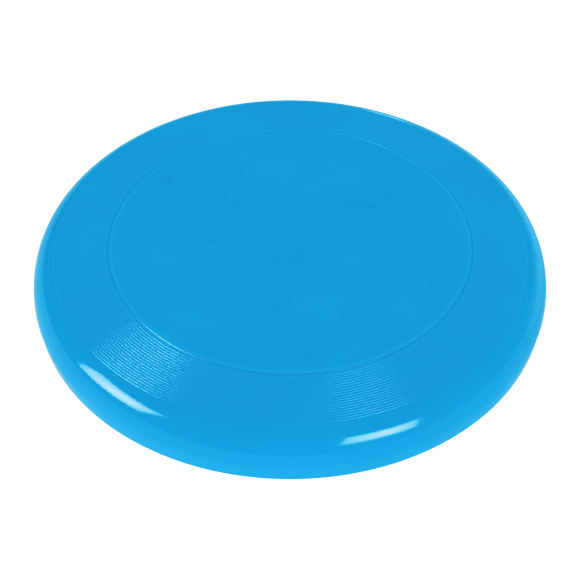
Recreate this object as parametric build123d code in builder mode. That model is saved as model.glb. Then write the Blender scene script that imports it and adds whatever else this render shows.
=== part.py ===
from build123d import *
import os
from math import cos, radians, sin, tan

# A throwing disc: one moulding of soft polyethylene, hollow underneath, in millimetres.
# The origin is at the centre of the circle that the disc rests on, and +Z points up through its top.
# The outline below is drawn as (radius, height) and turned round Z.

# Driving dimensions
disc_diameter = 250.0
disc_height = 32.1
plate_thickness = 1.5
band_thickness = 1.7
outer_radius = disc_diameter / 2

# Flight plate: the flat middle of the top, which rolls over into a shallow groove
plate_radius = 0.6972 * outer_radius
plate_edge_rounding = 1.5
groove_radius = 0.7019 * outer_radius
groove_depth = 0.8
groove_lip_radius = 0.7085 * outer_radius
groove_rounding = 0.15

# Ridged band: a cone that falls away from the groove, with fine ridges that are steep on their outer side
band_drop = 0.25
band_slope = 9.8
ridge_count = 19
ridge_pitch = 1.344
ridge_rise = 0.33
ridge_flank_angle = 50.0
ridge_rounding = 0.25
ridges_start_radius = 0.7104 * outer_radius

# Shoulder and rim: the outside falls to the widest circle, then tapers in a little to the foot
widest_height = 9.8
shoulder_start_pull = 5.1
shoulder_end_pull = 10.8
rim_taper = 1.6
foot_outer_rounding = 2.4

# Inside of the rim, and of the cavity above it
foot_inner_radius = 119.0
rim_draft = 1.0
foot_inner_rounding = 0.8
cavity_rounding = 4.0

# Low relief on the flight plate: raised lines that outline a ring of leaves and a plain medallion
relief_height = 0.25
relief_root = 0.3
line_width = 0.8
leaf_count = 8
leaf_inner_radius = 36.0
leaf_outer_radius = 78.0
leaf_twist = 40.0
leaf_bulges = (18.0, 8.0)
medallion_radii = (7.6, 14.6)
ray_count = 12
ray_middle_radius = 11.2
ray_length = 3.2
gate_mark_radius = 2.0

ridge_run = ridge_rise / tan(radians(ridge_flank_angle))
ridges_end_radius = ridges_start_radius + ridge_count * ridge_pitch


def polar(radius, degrees):
    return (radius * cos(radians(degrees)), radius * sin(radians(degrees)))


def on_band(radius, rise=0.0):
    """The point that stands a rise above the feet of the ridges at a radius."""
    fall = (radius - groove_radius) * tan(radians(band_slope))
    return (radius, disc_height - band_drop - fall + rise)


# Each ridge climbs gently to its crest and falls steeply to the foot of the next one
ridge_corners = [on_band(ridges_start_radius)]
for ridge in range(1, ridge_count + 1):
    foot_radius = ridges_start_radius + ridge * ridge_pitch
    ridge_corners.append(on_band(foot_radius - ridge_run, ridge_rise))
    ridge_corners.append(on_band(foot_radius))

shoulder_start = on_band(ridges_end_radius + ridge_rounding)
shoulder_start_handle = (
    shoulder_start[0] + shoulder_start_pull * cos(radians(band_slope)),
    shoulder_start[1] - shoulder_start_pull * sin(radians(band_slope)),
)

# The underside is flat under the plate and a cone under the band, out to the inside of the rim
underside_height = disc_height - plate_thickness
cavity_corner_radius = foot_inner_radius - underside_height * tan(radians(rim_draft))
cavity_corner = on_band(cavity_corner_radius, -band_thickness)
cavity_cone_rise = plate_thickness - band_drop - band_thickness
cavity_cone_start = (groove_radius + cavity_cone_rise / tan(radians(band_slope)), underside_height)

with BuildPart() as disc_body:
    with BuildSketch(Plane.XZ):
        with BuildLine():
            # Flight plate, groove and ridges, from the centre outwards
            FilletPolyline(
                (0, disc_height),
                (plate_radius, disc_height),
                (groove_radius, disc_height - groove_depth),
                on_band(groove_lip_radius),
                *ridge_corners,
                shoulder_start,
                radius=[plate_edge_rounding, groove_rounding, groove_rounding]
                + len(ridge_corners) * [ridge_rounding],
            )
            # Shoulder, down to the widest circle
            Bezier(
                shoulder_start,
                shoulder_start_handle,
                (outer_radius, widest_height + shoulder_end_pull),
                (outer_radius, widest_height),
            )
            # Rim, foot and cavity, back to the centre
            FilletPolyline(
                (outer_radius, widest_height),
                (outer_radius - rim_taper, 0),
                (foot_inner_radius, 0),
                cavity_corner,
                cavity_cone_start,
                (0, underside_height),
                radius=[foot_outer_rounding, foot_inner_rounding] + 2 * [cavity_rounding],
            )
            Line((0, underside_height), (0, disc_height))
        make_face()
    revolve(axis=Axis.Z)

    with BuildSketch(Plane.XY.offset(disc_height - relief_root)):
        # Leaves: two arcs each, from an inner tip to an outer tip further round
        for leaf in range(leaf_count):
            azimuth = leaf * 360 / leaf_count
            inner_tip = polar(leaf_inner_radius, azimuth)
            outer_tip = polar(leaf_outer_radius, azimuth - leaf_twist)
            for bulge in leaf_bulges:
                with BuildLine():
                    SagittaArc(inner_tip, outer_tip, bulge)
                trace(line_width=line_width)
        # Medallion: two rings, a ring of short rays between them, and the round mark of the moulding gate
        for radius in medallion_radii:
            with BuildLine():
                CenterArc((0, 0), radius, 0, 360)
            trace(line_width=line_width)
        with PolarLocations(ray_middle_radius, ray_count):
            SlotOverall(ray_length, line_width)
        Circle(gate_mark_radius)
    extrude(amount=relief_root + relief_height)

os.makedirs("parts", exist_ok=True)
disc_body.part.label = "disc_body"
export_step(disc_body.part, "parts/disc_body.step")
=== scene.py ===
from math import acos, atan, ceil, cos, pi, radians, sin, tan

import bmesh
import bpy
import numpy as np
from mathutils import Matrix, Vector
from mathutils.geometry import delaunay_2d_cdt


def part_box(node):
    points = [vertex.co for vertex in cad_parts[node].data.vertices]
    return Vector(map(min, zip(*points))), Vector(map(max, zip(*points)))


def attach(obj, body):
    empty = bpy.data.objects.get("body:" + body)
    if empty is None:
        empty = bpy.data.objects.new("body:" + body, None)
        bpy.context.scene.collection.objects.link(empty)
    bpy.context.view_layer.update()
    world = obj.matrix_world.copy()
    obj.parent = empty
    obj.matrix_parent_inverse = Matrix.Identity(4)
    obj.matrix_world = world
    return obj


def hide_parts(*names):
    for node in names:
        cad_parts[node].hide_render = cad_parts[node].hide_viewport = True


# A throwing disc: one moulding of blue plastic, hollow underneath. Its outline is turned round Z, a mesh of
# triangles with the low relief closes the flat middle of its top, and a fan closes that of its underside.

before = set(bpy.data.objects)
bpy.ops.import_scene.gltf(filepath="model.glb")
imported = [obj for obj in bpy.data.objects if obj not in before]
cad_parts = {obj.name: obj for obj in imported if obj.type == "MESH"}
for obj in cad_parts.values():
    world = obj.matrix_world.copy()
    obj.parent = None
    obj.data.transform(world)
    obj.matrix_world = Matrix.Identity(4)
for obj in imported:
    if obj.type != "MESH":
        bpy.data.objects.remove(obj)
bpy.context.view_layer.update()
disc_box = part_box("disc_body")

# ---------------------------------------------------------------- dimensions, in millimetres
MM = 0.001

relief_height = 0.25
outer_radius = disc_box[1].x / MM
disc_height = disc_box[1].z / MM - relief_height
plate_thickness = 1.5
band_thickness = 1.7

# Flight plate and the groove round it
plate_radius = 0.6972 * outer_radius
plate_edge_rounding = 1.5
groove_radius = 0.7019 * outer_radius
groove_depth = 0.8
groove_lip_radius = 0.7085 * outer_radius
groove_rounding = 0.15

# Ridged band
band_drop = 0.25
band_slope = 9.8
ridge_count = 19
ridge_pitch = 1.344
ridge_rise = 0.33
ridge_flank_angle = 50.0
ridge_rounding = 0.25
ridges_start_radius = 0.7104 * outer_radius

# Shoulder, rim and foot
widest_height = 9.8
shoulder_start_pull = 5.1
shoulder_end_pull = 10.8
rim_taper = 1.6
foot_outer_rounding = 2.4
foot_inner_radius = 119.0
foot_inner_rounding = 0.8
rim_draft = 1.0
cavity_rounding = 4.0

# Low relief on the plate
line_width = 0.8
line_flank = 0.4
leaf_count = 8
leaf_inner_radius = 36.0
leaf_outer_radius = 78.0
leaf_twist = 40.0
leaf_bulges = (18.0, 8.0)
medallion_radii = (7.6, 14.6)
ray_count = 12
ray_middle_radius = 11.2
ray_length = 3.2
gate_mark_radius = 2.0

ridge_run = ridge_rise / tan(radians(ridge_flank_angle))
ridges_end_radius = ridges_start_radius + ridge_count * ridge_pitch
underside_height = disc_height - plate_thickness

# How finely the mesh follows those shapes. The turned part ends at the plate's mesh, inside the rolled edge
segments = 180
shoulder_steps = 26
degrees_per_step = 9.0
plate_mesh_radius = 84.0
plate_ring_spacing = 4.0

# Each relief line is followed by loops up its flanks, and by one more a little way out on the flat
relief_point_spacing = 1.2
relief_guard = 0.35
flank_shares = (-0.5, -0.25, 0, 0.25, 0.5)
line_end_steps = 8
gate_mark_segments = 24

# Points closer than these become one: in the triangulation, and where the pieces of mesh meet
merging_distance = 0.0001
seam_gap = 0.002

# ---------------------------------------------------------------- look of the plastic
refractive_index = 1.51
dark_blue = (0.0004, 0.346, 0.732, 1)
light_blue = (0.0006, 0.361, 0.754, 1)
clouding_span = (0.35, 0.65)
gloss_roughness = (0.08, 0.12)
peel_strength = 0.2
peel_depth = 0.02

# Noise as (scale, detail)
clouding_noise = (28.0, 3.0)
gloss_noise = (90.0, 4.0)
peel_noise = (700.0, 2.0)

# Roughness that the ridges and the satin field add, and how strongly the field and the lines mirror
ridge_dullness = 0.12
field_roughness = 0.32
field_specular = 0.06
line_specular = 0.5

# Painted light and shade: the band is painted lighter against the shade between its ridges, the plate's
# rolled edge lighter as a painted light along the groove, and the field darker, to even it with the
# glossier relief lines
band_painted_light = 1.035
field_painted_shade = 0.97
edge_painted_light = 1.05

# Where one part's look goes over into the next, as (radius, radius)
rolled_edge_start = plate_radius - plate_edge_rounding
band_start_span = (rolled_edge_start - 0.5, rolled_edge_start + 0.5)
band_end_span = (ridges_end_radius - 0.5, ridges_end_radius + 0.5)
# Over these two spans the plate's rolled edge is painted lighter, a painted light along the groove
painted_edge_start_span = (rolled_edge_start - 1.0, rolled_edge_start + 0.5)
painted_edge_end_span = (plate_radius - 0.2, plate_radius + 0.2)
field_end_span = (rolled_edge_start - 2.0, rolled_edge_start)

# ---------------------------------------------------------------- light, floor and camera
# Places are in metres, angles in degrees, and the lens and sensor in millimetres

# The even light on what is lit, and the plain white that the camera sees
ambient_zenith = 0.96
ambient_horizon = 0.95
backdrop = 1.6

# What shows in the gloss: a dark room above a white sweep that rises a little towards the back
mirrored_dark = 0.08
mirrored_white_left = 0.86
mirrored_white_right = 0.54
mirrored_lean = -0.2
mirrored_edge = -0.06
mirrored_blur = 0.04

# A softbox is brightest in its middle. At its end, counted in its own sides, it gives the end share of that
softbox_distance = 1.2
softbox_end = 0.6
softbox_end_share = 0.5

floor_half_width = 15.0
floor_height = -0.00005
floor_grey = (0.25, 0.25, 0.25, 1)
floor_glow = 1.04

camera_sensor = 36.0
camera_lens = 125.84
camera_aim = Vector((0, 0.00055, 0))
camera_distance = 1.0
camera_azimuth = -90
camera_elevation = 43.78

# Response of the photograph, as points of (light that comes in, light that is shown)
white_point = 1.5
red_floor = 0.0045
red_response = (
    (0.008, 0.0065),
    (0.05, 0.012),
    (0.1, 0.023),
    (0.2, 0.05),
    (0.3, 0.11),
    (0.4, 0.215),
    (0.5, 0.34),
    (0.6, 0.45),
    (0.8, 0.63),
    (1.0, 0.78),
    (1.4, 0.95),
)
green_response = (
    (0.6, 0.6),
    (0.75, 0.69),
    (0.9, 0.76),
    (1.05, 0.82),
    (1.4, 0.95),
)
blue_response = (
    (0.66, 0.665),
    (0.75, 0.77),
    (0.85, 0.875),
    (0.95, 0.92),
    (1.4, 0.95),
)


# ---------------------------------------------------------------- outline, as (radius, height) points
def arc(start, end, sagitta, steps):
    """Points after start, up to end, on the arc that stands a sagitta to the left of its chord."""
    half_chord = (end - start) / 2
    left = Vector((-half_chord.y, half_chord.x))
    half_turn = 2 * atan(sagitta / half_chord.length)
    points = []
    for step in range(1, steps + 1):
        turn = half_turn * (2 * step / steps - 1)
        along = sin(turn) / sin(half_turn)
        aside = (cos(turn) - cos(half_turn)) / sin(half_turn)
        points.append((start + end) / 2 + half_chord * along + left * aside)
    return points


def rounded(corners, radii):
    """Points from the first corner to the last, with an arc at each corner between them.

    Each straight part gets a point in its middle, so that it is shaded straight.
    """
    points = [corners[0]]
    for before, corner, after, radius in zip(corners, corners[1:], corners[2:], radii):
        back = (before - corner).normalized()
        ahead = (after - corner).normalized()
        turn = pi - acos(back.dot(ahead))
        reach = radius * tan(turn / 2)
        side = 1 if back.cross(ahead) > 0 else -1
        start = corner + back * reach
        sagitta = side * radius * (1 - cos(turn / 2))
        steps = max(2, ceil(turn / radians(degrees_per_step)))
        points += [(points[-1] + start) / 2, start] + arc(start, corner + ahead * reach, sagitta, steps)
    return points + [corners[-1]]


def bezier(start, start_handle, end_handle, end, steps):
    """Points after start, up to end, on a cubic Bezier curve."""
    points = []
    for step in range(1, steps + 1):
        t = step / steps
        s = 1 - t
        points.append(
            s**3 * start + 3 * s * s * t * start_handle + 3 * s * t * t * end_handle + t**3 * end
        )
    return points


def on_band(radius, rise=0.0):
    """The point that stands a rise above the feet of the ridges at a radius."""
    fall = (radius - groove_radius) * tan(radians(band_slope))
    return Vector((radius, disc_height - band_drop - fall + rise))


def ridge_corners():
    """Each ridge climbs gently to its crest and falls steeply to the foot of the next one."""
    corners = [on_band(ridges_start_radius)]
    for ridge in range(1, ridge_count + 1):
        foot_radius = ridges_start_radius + ridge * ridge_pitch
        corners.append(on_band(foot_radius - ridge_run, ridge_rise))
        corners.append(on_band(foot_radius))
    return corners


def band_outline():
    """The plate's rolled edge, the groove and the ridges."""
    corners = [
        Vector((plate_mesh_radius, disc_height)),
        Vector((plate_radius, disc_height)),
        Vector((groove_radius, disc_height - groove_depth)),
        on_band(groove_lip_radius),
        *ridge_corners(),
        on_band(ridges_end_radius + ridge_rounding),
    ]
    radii = [plate_edge_rounding, groove_rounding, groove_rounding]
    return rounded(corners, radii + (2 * ridge_count + 1) * [ridge_rounding])


def shoulder_outline():
    """From the outermost ridge down to the widest circle."""
    start = on_band(ridges_end_radius + ridge_rounding)
    slope = radians(band_slope)
    start_handle = start + shoulder_start_pull * Vector((cos(slope), -sin(slope)))
    end_handle = Vector((outer_radius, widest_height + shoulder_end_pull))
    return bezier(start, start_handle, end_handle, Vector((outer_radius, widest_height)), shoulder_steps)


def underside_outline():
    """The rim's wall, the foot and the cavity, to a point of the flat underside."""
    corner_radius = foot_inner_radius - underside_height * tan(radians(rim_draft))
    corner = on_band(corner_radius, -band_thickness)
    cone_rise = plate_thickness - band_drop - band_thickness
    cone_start = Vector((groove_radius + cone_rise / tan(radians(band_slope)), underside_height))
    return rounded(
        [
            Vector((outer_radius, widest_height)),
            Vector((outer_radius - rim_taper, 0)),
            Vector((foot_inner_radius, 0)),
            corner,
            cone_start,
            Vector((plate_mesh_radius, underside_height)),
        ],
        [foot_outer_rounding, foot_inner_rounding, cavity_rounding, cavity_rounding],
    )


# ---------------------------------------------------------------- relief lines, seen from above
def polar(radius, azimuth):
    """The point at a radius and an azimuth in radians."""
    return Vector((radius * cos(azimuth), radius * sin(azimuth)))


def circle(radius, count):
    """Points spaced evenly round Z."""
    return [polar(radius, 2 * pi * step / count) for step in range(count)]


def leaf_lines():
    """Two arcs for each leaf, from its inner tip to its outer tip further round."""
    lines = []
    for leaf in range(leaf_count):
        azimuth = 2 * pi * leaf / leaf_count
        inner_tip = polar(leaf_inner_radius, azimuth)
        outer_tip = polar(leaf_outer_radius, azimuth - radians(leaf_twist))
        steps = round((outer_tip - inner_tip).length / relief_point_spacing)
        for bulge in leaf_bulges:
            lines.append([inner_tip] + arc(inner_tip, outer_tip, bulge, steps))
    return lines


def ray_lines():
    """The medallion's short straight rays."""
    reach = (ray_length - line_width) / 2
    lines = []
    for ray in range(ray_count):
        azimuth = 2 * pi * ray / ray_count
        lines.append([polar(ray_middle_radius + side * reach, azimuth) for side in (-1, 1)])
    return lines


def outline_of_line(line, distance):
    """The closed loop round an open line, at a distance, with round ends."""
    loop = []
    for path in (line, line[::-1]):
        for index, point in enumerate(path[:-1]):
            ahead = path[index + 1] - path[max(index - 1, 0)]
            loop.append(point + distance * Vector((-ahead.y, ahead.x)).normalized())
        end_direction = (path[-1] - path[-2]).normalized()
        left = Vector((-end_direction.y, end_direction.x))
        for step in range(line_end_steps + 1):
            turn = pi * step / line_end_steps
            loop.append(path[-1] + distance * (left * cos(turn) + end_direction * sin(turn)))
    return loop


def distance_to_line(points, line):
    """How far each of the points is from an open line."""
    starts = np.array([point[:] for point in line[:-1]])
    spans = np.array([point[:] for point in line[1:]]) - starts
    offsets = points[:, None, :] - starts[None]
    along = np.clip((offsets * spans).sum(2) / (spans**2).sum(1), 0, 1)
    return np.linalg.norm(offsets - along[..., None] * spans, axis=2).min(1)


def relief_at(points):
    """The height of the relief above the plate, at points seen from above."""
    radii = np.linalg.norm(points, axis=1)
    distances = [np.abs(radii - radius) for radius in medallion_radii]
    distances.append(radii - gate_mark_radius + line_width / 2)
    distances += [distance_to_line(points, line) for line in leaf_lines() + ray_lines()]
    nearest = np.min(distances, axis=0)
    rise = np.clip((line_width / 2 + line_flank / 2 - nearest) / line_flank, 0, 1)
    return relief_height * rise * rise * (3 - 2 * rise)


def plate_mesh():
    """The flat middle of the top with its relief, as points and triangles."""
    flank_reaches = [line_width / 2 + line_flank * share for share in flank_shares]
    reaches = flank_reaches + [flank_reaches[-1] + relief_guard]
    loops = [circle(plate_mesh_radius, segments)]
    for reach in reaches:
        loops += [outline_of_line(line, reach) for line in leaf_lines() + ray_lines()]
        loops.append(circle(gate_mark_radius - line_width / 2 + reach, gate_mark_segments))
        for radius in medallion_radii:
            count = round(2 * pi * radius / relief_point_spacing)
            loops += [circle(radius - reach, count), circle(radius + reach, count)]
    points = []
    edges = []
    for loop in loops:
        first = len(points)
        points += loop
        edges += [(first + step, first + (step + 1) % len(loop)) for step in range(len(loop))]
    for ring in range(1, int(plate_mesh_radius / plate_ring_spacing)):
        radius = ring * plate_ring_spacing
        points += circle(radius, round(2 * pi * radius / plate_ring_spacing))
    flat_points, _, triangles, *_ = delaunay_2d_cdt(points, edges, [], 0, merging_distance)
    flat = np.array([point[:] for point in flat_points])
    heights = disc_height + relief_at(flat)
    return np.column_stack([flat, heights]), triangles


# ---------------------------------------------------------------- the disc's mesh
def turned_mesh(outline):
    """The outline turned round Z, as points and quads."""
    points = []
    for point in outline:
        points += [(*ring_point, point.y) for ring_point in circle(point.x, segments)]
    quads = []
    for ring in range(len(outline) - 1):
        for step in range(segments):
            following = (step + 1) % segments
            quads.append(
                (
                    ring * segments + step,
                    (ring + 1) * segments + step,
                    (ring + 1) * segments + following,
                    ring * segments + following,
                )
            )
    return np.array(points), quads


def underside_middle():
    """The flat underside, as a fan round its centre."""
    rim = [(*point, underside_height) for point in circle(plate_mesh_radius, segments)]
    fan = [(0, step + 1, (step + 1) % segments + 1) for step in range(segments)]
    return np.array([(0, 0, underside_height)] + rim), [triangle[::-1] for triangle in fan]


def build_disc():
    """The whole moulding as one object, its three pieces of mesh still apart."""
    turned_outline = band_outline() + shoulder_outline() + underside_outline()[1:]
    points = np.empty((0, 3))
    faces = []
    for piece_points, piece_faces in (plate_mesh(), turned_mesh(turned_outline), underside_middle()):
        first = len(points)
        points = np.vstack([points, piece_points])
        faces += [[first + corner for corner in face] for face in piece_faces]
    mesh = bpy.data.meshes.new("disc")
    mesh.from_pydata((points * MM).tolist(), [], faces)
    mesh.update()
    disc = bpy.data.objects.new("disc", mesh)
    bpy.context.scene.collection.objects.link(disc)
    return disc


def merge_seams(mesh):
    """Joins the pieces of the mesh where they meet, and shades it smooth."""
    merged = bmesh.new()
    merged.from_mesh(mesh)
    bmesh.ops.remove_doubles(merged, verts=merged.verts, dist=seam_gap * MM)
    bmesh.ops.recalc_face_normals(merged, faces=merged.faces)
    merged.to_mesh(mesh)
    merged.free()
    mesh.shade_smooth()


# ---------------------------------------------------------------- material
def remap(tree, value, low, high, start, end):
    """A node output that goes smoothly from start to end while the value goes from low to high."""
    remapped = tree.nodes.new("ShaderNodeMapRange")
    remapped.interpolation_type = "SMOOTHSTEP"
    tree.links.new(value, remapped.inputs["Value"])
    for name, given in (("From Min", low), ("From Max", high), ("To Min", start), ("To Max", end)):
        if isinstance(given, bpy.types.NodeSocket):
            tree.links.new(given, remapped.inputs[name])
        else:
            remapped.inputs[name].default_value = given
    return remapped.outputs["Result"]


def combine(tree, operation, first, second):
    """A node output that adds two others, or subtracts the second from the first."""
    combined = tree.nodes.new("ShaderNodeMath")
    combined.operation = operation
    tree.links.new(first, combined.inputs[0])
    tree.links.new(second, combined.inputs[1])
    return combined.outputs["Value"]


def noise(tree, place, scale, detail):
    """A node output of cloudy noise."""
    texture = tree.nodes.new("ShaderNodeTexNoise")
    texture.inputs["Scale"].default_value = scale
    texture.inputs["Detail"].default_value = detail
    tree.links.new(place, texture.inputs["Vector"])
    return texture.outputs["Fac"]


def radius_at(tree, place):
    """A node output of the distance from Z."""
    level = tree.nodes.new("ShaderNodeVectorMath")
    level.operation = "MULTIPLY"
    level.inputs[1].default_value = (1, 1, 0)
    tree.links.new(place, level.inputs[0])
    length = tree.nodes.new("ShaderNodeVectorMath")
    length.operation = "LENGTH"
    tree.links.new(level.outputs["Vector"], length.inputs[0])
    return length.outputs["Value"]


def plateau(tree, radius, start_span, end_span, amount):
    """A node output that rises to the amount over one span of radii and falls back over another."""
    rise = remap(tree, radius, start_span[0] * MM, start_span[1] * MM, 0.0, amount)
    fall = remap(tree, radius, end_span[0] * MM, end_span[1] * MM, 0.0, amount)
    return combine(tree, "SUBTRACT", rise, fall)


def satin_field(tree, place, radius):
    """A node output that is 1 on the flat of the plate and 0 on the relief lines and past the plate."""
    axes = tree.nodes.new("ShaderNodeSeparateXYZ")
    tree.links.new(place, axes.inputs["Vector"])
    plate_top = disc_height * MM
    line_top = (disc_height + relief_height) * MM
    below_lines = remap(tree, axes.outputs["Z"], plate_top, line_top, 1.0, 0.0)
    return remap(tree, radius, field_end_span[0] * MM, field_end_span[1] * MM, below_lines, 0.0)


def plastic_roughness(tree, place, band_dullness, field):
    """A little uneven, duller on the ridges and the plate's rolled edge, and satin on the field."""
    gloss = tree.nodes.new("ShaderNodeMapRange")
    gloss.inputs["To Min"].default_value = gloss_roughness[0]
    gloss.inputs["To Max"].default_value = gloss_roughness[1]
    tree.links.new(noise(tree, place, *gloss_noise), gloss.inputs["Value"])
    roughness = combine(tree, "ADD", gloss.outputs["Result"], band_dullness)
    field_dullness = remap(tree, field, 0.0, 1.0, 0.0, field_roughness)
    return combine(tree, "ADD", roughness, field_dullness)


def painted_light_and_shade(tree, radius, band_dullness, field):
    """Painted light and shade: lighter on the ridged band, against the shade between its ridges, and on the
    plate's rolled edge, as a painted light along the groove; darker on the field, to even it with the
    glossier relief lines.
    """
    band_painted_light_value = remap(tree, band_dullness, 0.0, ridge_dullness, 1.0, band_painted_light)
    field_painted_shade_value = remap(tree, field, 0.0, 1.0, 0.0, 1.0 - field_painted_shade)
    value = combine(tree, "SUBTRACT", band_painted_light_value, field_painted_shade_value)
    edge_painted_light_value = plateau(tree, radius, painted_edge_start_span, painted_edge_end_span, edge_painted_light - 1.0)
    return combine(tree, "ADD", value, edge_painted_light_value)


def plastic_colour(tree, place, lightness):
    """The faint clouding of a moulding, at a lightness that holds the painted light and shade."""
    tint = tree.nodes.new("ShaderNodeValToRGB")
    for stop, position, colour in zip(tint.color_ramp.elements, clouding_span, (dark_blue, light_blue)):
        stop.position = position
        stop.color = colour
    tree.links.new(noise(tree, place, *clouding_noise), tint.inputs["Fac"])
    shaded = tree.nodes.new("ShaderNodeHueSaturation")
    tree.links.new(tint.outputs["Color"], shaded.inputs["Color"])
    tree.links.new(lightness, shaded.inputs["Value"])
    return shaded.outputs["Color"]


def orange_peel(tree, place):
    """The fine unevenness of a moulded surface."""
    bump = tree.nodes.new("ShaderNodeBump")
    bump.inputs["Strength"].default_value = peel_strength
    bump.inputs["Distance"].default_value = peel_depth * MM
    tree.links.new(noise(tree, place, *peel_noise), bump.inputs["Height"])
    return bump.outputs["Normal"]


def plastic_material():
    """One blue plastic, whose gloss follows the parts of the disc, and whose lightness holds painted light
    and shade.
    """
    material = bpy.data.materials.new("blue_plastic")
    material.use_nodes = True
    tree = material.node_tree
    tree.nodes.clear()
    output = tree.nodes.new("ShaderNodeOutputMaterial")
    shader = tree.nodes.new("ShaderNodeBsdfPrincipled")
    tree.links.new(shader.outputs["BSDF"], output.inputs["Surface"])
    shader.inputs["IOR"].default_value = refractive_index

    place = tree.nodes.new("ShaderNodeTexCoord").outputs["Object"]
    radius = radius_at(tree, place)
    band_dullness = plateau(tree, radius, band_start_span, band_end_span, ridge_dullness)
    field = satin_field(tree, place, radius)
    roughness = plastic_roughness(tree, place, band_dullness, field)
    specular = remap(tree, field, 0.0, 1.0, line_specular, field_specular)
    # Light and shade are painted into this lightness: the band and the rolled edge lighter, the field
    # darker
    lightness = painted_light_and_shade(tree, radius, band_dullness, field)

    tree.links.new(plastic_colour(tree, place, lightness), shader.inputs["Base Color"])
    tree.links.new(roughness, shader.inputs["Roughness"])
    tree.links.new(specular, shader.inputs["Specular IOR Level"])
    tree.links.new(orange_peel(tree, place), shader.inputs["Normal"])
    return material


# ---------------------------------------------------------------- surroundings
def mirrored_room(tree, axes):
    """A node output of the dark room and the white sweep, by direction."""
    lean = tree.nodes.new("ShaderNodeMath")
    lean.operation = "MULTIPLY_ADD"
    tree.links.new(axes["Y"], lean.inputs[0])
    lean.inputs[1].default_value = mirrored_lean
    tree.links.new(axes["Z"], lean.inputs[2])
    white = remap(tree, axes["X"], -1.0, 1.0, mirrored_white_left, mirrored_white_right)
    low = mirrored_edge - mirrored_blur
    high = mirrored_edge + mirrored_blur
    return remap(tree, lean.outputs["Value"], low, high, white, mirrored_dark)


def build_world():
    """Even light on what it lights, a room that shows in the gloss, and plain white for the camera."""
    world = bpy.data.worlds.new("studio")
    bpy.context.scene.world = world
    world.use_nodes = True
    tree = world.node_tree
    tree.nodes.clear()
    place = tree.nodes.new("ShaderNodeTexCoord")
    separated = tree.nodes.new("ShaderNodeSeparateXYZ")
    tree.links.new(place.outputs["Generated"], separated.inputs["Vector"])
    axes = separated.outputs
    ambient = remap(tree, axes["Z"], 0.0, 1.0, ambient_horizon, ambient_zenith)

    path = tree.nodes.new("ShaderNodeLightPath")
    choice = tree.nodes.new("ShaderNodeMix")
    tree.links.new(path.outputs["Is Glossy Ray"], choice.inputs["Factor"])
    tree.links.new(ambient, choice.inputs["A"])
    tree.links.new(mirrored_room(tree, axes), choice.inputs["B"])
    strength = remap(tree, path.outputs["Is Camera Ray"], 0.0, 1.0, choice.outputs["Result"], backdrop)
    background = tree.nodes.new("ShaderNodeBackground")
    background.inputs["Color"].default_value = (1, 1, 1, 1)
    tree.links.new(strength, background.inputs["Strength"])
    output = tree.nodes.new("ShaderNodeOutputWorld")
    tree.links.new(background.outputs["Background"], output.inputs["Surface"])


def direction(azimuth, elevation):
    """The unit vector towards an azimuth and elevation in degrees."""
    level = polar(cos(radians(elevation)), radians(azimuth))
    return Vector((level.x, level.y, sin(radians(elevation))))


def softbox(name, target, azimuth, elevation, width, height, turns, radiance):
    """A rectangular light that shows only in the gloss and is brightest in its middle.

    It faces its target, and is then turned about its own upright, side and axis.
    """
    data = bpy.data.lights.new(name, "AREA")
    data.shape = "RECTANGLE"
    data.size = width
    data.size_y = height
    data.energy = radiance * pi * width * height
    data.use_nodes = True
    tree = data.node_tree
    place = tree.nodes.new("ShaderNodeNewGeometry")
    off_middle = tree.nodes.new("ShaderNodeVectorMath")
    off_middle.operation = "DISTANCE"
    off_middle.inputs[1].default_value = (0.5, 0.5, 0)
    tree.links.new(place.outputs["Parametric"], off_middle.inputs[0])
    strength = remap(tree, off_middle.outputs["Value"], 0.0, softbox_end, 1.0, softbox_end_share)
    tree.links.new(strength, tree.nodes["Emission"].inputs["Strength"])
    light = bpy.data.objects.new(name, data)
    light.visible_diffuse = False
    bpy.context.scene.collection.objects.link(light)
    away = direction(azimuth, elevation)
    facing = away.to_track_quat("Z", "Y").to_matrix()
    for turn, axis in zip(turns, "YXZ"):
        facing = facing @ Matrix.Rotation(radians(turn), 3, axis)
    light.matrix_world = Matrix.Translation(Vector(target) + softbox_distance * away) @ facing.to_4x4()


def build_lights():
    """Two softboxes, a card and a strip, whose mirror images are the highlights."""
    softbox(
        "softbox_left",
        target=(-0.095, -0.07, 0.022),
        azimuth=199.65,
        elevation=22.4,
        width=0.825,
        height=0.655,
        turns=(-31.4, -13.6, -3.4),
        radiance=15.8,
    )
    softbox(
        "softbox_right",
        target=(0.05, -0.11, 0.022),
        azimuth=-53.8,
        elevation=16.1,
        width=0.677,
        height=0.51,
        turns=(-16.5, 13.3, -13.5),
        radiance=15.2,
    )
    softbox(
        "card_back_right",
        target=(0.1, 0.05, 0.022),
        azimuth=50,
        elevation=0,
        width=1.6,
        height=1.0,
        turns=(0, 0, 0),
        radiance=0.6,
    )
    softbox(
        "strip_back",
        target=(0.05, 0.087, 0.03),
        azimuth=82,
        elevation=16,
        width=0.1,
        height=0.5,
        turns=(0, 0, 0),
        radiance=4,
    )


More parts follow.
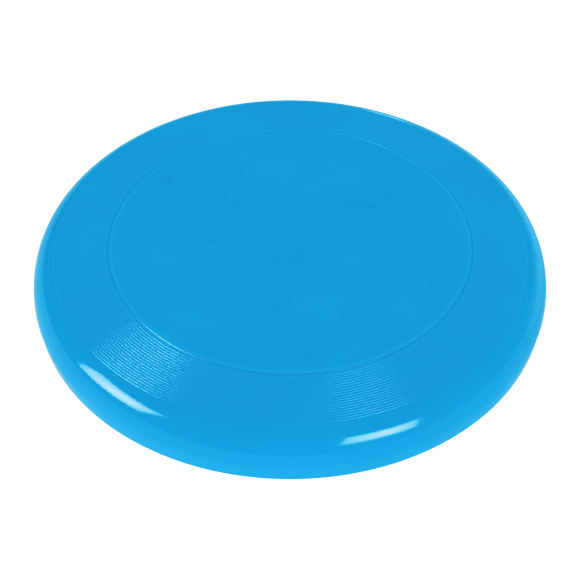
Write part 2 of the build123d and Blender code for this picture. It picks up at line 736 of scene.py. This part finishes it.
def floor_material():
    """Pale and matt, with a glow that lights the rim evenly, and plain white to the camera."""
    material = bpy.data.materials.new("pale_floor")
    material.use_nodes = True
    tree = material.node_tree
    tree.nodes.clear()
    output = tree.nodes.new("ShaderNodeOutputMaterial")
    matt = tree.nodes.new("ShaderNodeBsdfDiffuse")
    matt.inputs["Color"].default_value = floor_grey
    glow = tree.nodes.new("ShaderNodeEmission")
    path = tree.nodes.new("ShaderNodeLightPath")
    strength = remap(tree, path.outputs["Is Camera Ray"], 0.0, 1.0, floor_glow, backdrop)
    tree.links.new(strength, glow.inputs["Strength"])
    both = tree.nodes.new("ShaderNodeAddShader")
    tree.links.new(matt.outputs["BSDF"], both.inputs[0])
    tree.links.new(glow.outputs["Emission"], both.inputs[1])
    tree.links.new(both.outputs["Shader"], output.inputs["Surface"])
    return material


def build_floor():
    """One square just under the disc, which doesn't show in the gloss."""
    half = floor_half_width
    square = [(-half, -half), (half, -half), (half, half), (-half, half)]
    mesh = bpy.data.meshes.new("floor")
    mesh.from_pydata([(x, y, floor_height) for x, y in square], [], [(0, 1, 2, 3)])
    mesh.materials.append(floor_material())
    floor = bpy.data.objects.new("floor", mesh)
    bpy.context.scene.collection.objects.link(floor)
    floor.visible_glossy = False


def build_camera():
    """A long lens that looks down on the disc from the front."""
    data = bpy.data.cameras.new("camera")
    data.sensor_width = camera_sensor
    data.lens = camera_lens
    camera = bpy.data.objects.new("camera", data)
    bpy.context.scene.collection.objects.link(camera)
    camera.location = camera_aim + camera_distance * direction(camera_azimuth, camera_elevation)
    camera.rotation_euler = (radians(90 - camera_elevation), 0, radians(90 + camera_azimuth))
    bpy.context.scene.camera = camera


def develop():
    """Weak reds stay dark beside so strong a blue, and the brightest light rolls off."""
    settings = bpy.context.scene.view_settings
    settings.view_transform = "Standard"
    settings.use_curve_mapping = True
    mapping = settings.curve_mapping
    mapping.white_level = (white_point, white_point, white_point)
    mapping.curves[0].points[0].location = (0, red_floor)
    for curve, response in zip(mapping.curves, (red_response, green_response, blue_response)):
        for light, shown in response:
            curve.points.new(light / white_point, shown).handle_type = "VECTOR"
    mapping.update()


# ---------------------------------------------------------------- the scene
disc = build_disc()
merge_seams(disc.data)
disc.data.materials.append(plastic_material())
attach(disc, "root")
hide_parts("disc_body")

build_world()
build_floor()
build_lights()
build_camera()
develop()
